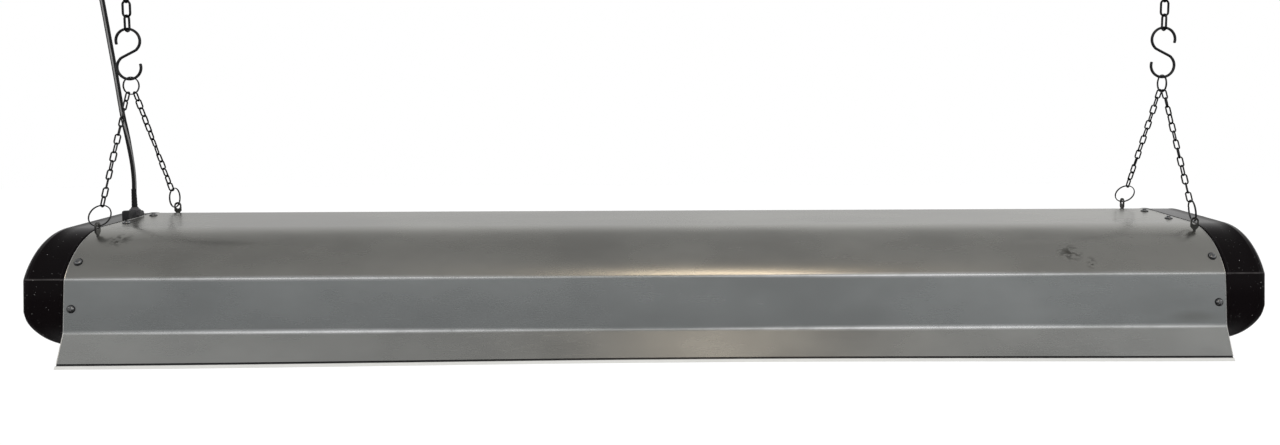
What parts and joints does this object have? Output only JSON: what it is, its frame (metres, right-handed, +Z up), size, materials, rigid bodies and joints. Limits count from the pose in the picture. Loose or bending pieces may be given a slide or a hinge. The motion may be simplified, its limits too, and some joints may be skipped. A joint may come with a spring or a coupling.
{
  "type": "led grow light",
  "caption": "Long hanging shop-style grow light: folded metal hood, glossy black end caps, chain and hook hangers at both ends, twist-in LED tubes and a coiled power cord.",
  "frame": {"origin": "on the ceiling, halfway between the two ceiling hooks", "axes": "+X along the long side of the hood, -Y to the front, +Z up"},
  "size_m": [1.275, 0.2766, 0.5286],
  "materials": {
    "hood_metal": "satin rolled sheet, bare outside and painted white inside",
    "cap_plastic": "high gloss black",
    "screw_steel": "bright plated",
    "zinc_steel": "dull zinc",
    "white_paint": "satin white enamel",
    "driver_case": "plain",
    "holder_plastic": "moulded white",
    "tube_aluminium": "satin",
    "board_white": "white solder mask",
    "diffuser": "frosted",
    "ring_steel": "bright",
    "hook_black": "black coated wire",
    "chain_steel": "bright zinc, dark in the bends",
    "black_plastic": "moulded black",
    "cord_rubber": "satin black"
  },
  "bodies": {
    "ceiling": {"ceiling_hook_left": "white_paint", "ceiling_hook_right": "white_paint"},
    "top_links": {"top_link_left": "chain_steel", "top_link_right": "chain_steel"},
    "left_hanger": {"upper_chain_left": "chain_steel", "s_hook_left": "hook_black", "upper_ring_left": "ring_steel", "chain_leg_left_front": "chain_steel", "lower_ring_left_front": "ring_steel", "chain_leg_left_rear": "chain_steel", "lower_ring_left_rear": "ring_steel", "power_cord": "cord_rubber", "cord_coil": "cord_rubber", "plug": "black_plastic"},
    "right_hanger": {"upper_chain_right": "chain_steel", "s_hook_right": "hook_black", "upper_ring_right": "ring_steel", "chain_leg_right_front": "chain_steel", "lower_ring_right_front": "ring_steel", "chain_leg_right_rear": "chain_steel", "lower_ring_right_rear": "ring_steel"},
    "fixture": {"hood": "hood_metal", "end_cap_left": "cap_plastic", "end_cap_right": "cap_plastic", "screw_left_front_top": "screw_steel", "screw_left_front_arc": "screw_steel", "screw_left_front_side": "screw_steel", "screw_left_rear_top": "screw_steel", "screw_left_rear_arc": "screw_steel", "screw_left_rear_side": "screw_steel", "screw_right_front_top": "screw_steel", "screw_right_front_arc": "screw_steel", "screw_right_front_side": "screw_steel", "screw_right_rear_top": "screw_steel", "screw_right_rear_arc": "screw_steel", "screw_right_rear_side": "screw_steel", "clip_left_front": "zinc_steel", "clip_left_rear": "zinc_steel", "clip_right_front": "zinc_steel", "clip_right_rear": "zinc_steel", "wireway_cover": "white_paint", "holder_plate_left": "white_paint", "holder_plate_right": "white_paint", "led_driver": "driver_case", "lampholder_left_front": "holder_plastic", "lampholder_left_rear": "holder_plastic", "lampholder_right_front": "holder_plastic", "lampholder_right_rear": "holder_plastic", "cord_gland": "black_plastic"},
    "tube_front": {"tube_front_heat_sink": "tube_aluminium", "tube_front_end_left": "tube_aluminium", "tube_front_end_right": "tube_aluminium", "tube_front_led_board": "board_white", "tube_front_diffuser": "diffuser"},
    "tube_rear": {"tube_rear_heat_sink": "tube_aluminium", "tube_rear_end_left": "tube_aluminium", "tube_rear_end_right": "tube_aluminium", "tube_rear_led_board": "board_white", "tube_rear_diffuser": "diffuser"}
  },
  "joints": [
    {"name": "fore_aft_swing", "type": "hinge", "parent": "ceiling", "child": "top_links", "pos_m": [0, 0, -0.046], "axis": [1, 0, 0], "range_deg": [-15, 15]},
    {"name": "left_sway", "type": "hinge", "parent": "top_links", "child": "left_hanger", "pos_m": [-0.5838, 0, -0.06045], "axis": [0, 1, 0], "range_deg": [-12, 12]},
    {"name": "right_sway", "type": "hinge", "parent": "top_links", "child": "right_hanger", "pos_m": [0.5803, 0, -0.06045], "axis": [0, 1, 0], "range_deg": [-12, 12]},
    {"name": "fixture_level", "type": "hinge", "parent": "left_hanger", "child": "fixture", "pos_m": [-0.578, 0, -0.3949], "axis": [0, 1, 0], "range_deg": [-12.1, 12.1], "deforming": ["power_cord"]},
    {"name": "tube_front_twist", "type": "hinge", "parent": "fixture", "child": "tube_front", "pos_m": [0, -0.058, -0.4756], "axis": [1, 0, 0], "range_deg": [0, 90]},
    {"name": "tube_rear_twist", "type": "hinge", "parent": "fixture", "child": "tube_rear", "pos_m": [0, 0.058, -0.4756], "axis": [1, 0, 0], "range_deg": [0, 90]}
  ],
  "couplings": [
    {"joint": "right_sway", "follows": "left_sway", "ratio": 1},
    {"joint": "fixture_level", "follows": "left_sway", "ratio": -1.007}
  ]
}
